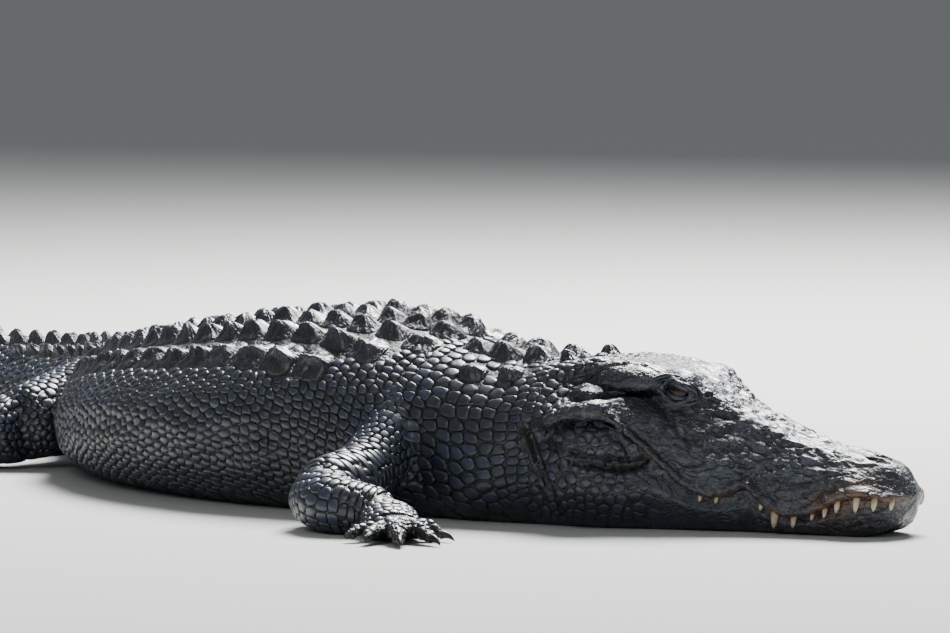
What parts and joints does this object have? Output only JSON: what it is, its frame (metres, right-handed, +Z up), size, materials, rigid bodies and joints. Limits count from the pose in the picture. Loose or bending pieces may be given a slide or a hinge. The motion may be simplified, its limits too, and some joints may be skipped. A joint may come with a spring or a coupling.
{
  "type": "american alligator model",
  "caption": "Life-size still model of an adult American alligator resting on its belly, head raised on its jaw, legs folded beside it and the long tail curving behind",
  "frame": {"origin": "on the ground under the middle of the trunk, at the belly's resting face", "axes": "+X along the trunk towards the head, +Y to the animal's left, +Z up"},
  "size_m": [3.001, 1.1243, 0.2678],
  "materials": {
    "head_hide": "satin, wet-looking blue-black hide of the head",
    "back_hide": "satin hide with horny keeled scutes",
    "limb_hide": "satin scaled hide of the legs and feet",
    "eye": "dark brown glass eye"
  },
  "bodies": {
    "root": {"head": "head_hide", "lower_jaw": "head_hide", "right_eye": "eye", "left_eye": "eye", "neck": "back_hide", "torso": "back_hide", "tail_base": "back_hide", "tail_middle": "back_hide", "tail_rear": "back_hide", "tail_end": "back_hide", "right_upper_arm": "limb_hide", "right_forearm": "limb_hide", "right_forefoot": "limb_hide", "right_thigh": "limb_hide", "right_shank": "limb_hide", "right_hindfoot": "limb_hide", "left_upper_arm": "limb_hide", "left_forearm": "limb_hide", "left_forefoot": "limb_hide", "left_thigh": "limb_hide", "left_shank": "limb_hide", "left_hindfoot": "limb_hide"}
  },
  "joints": []
}
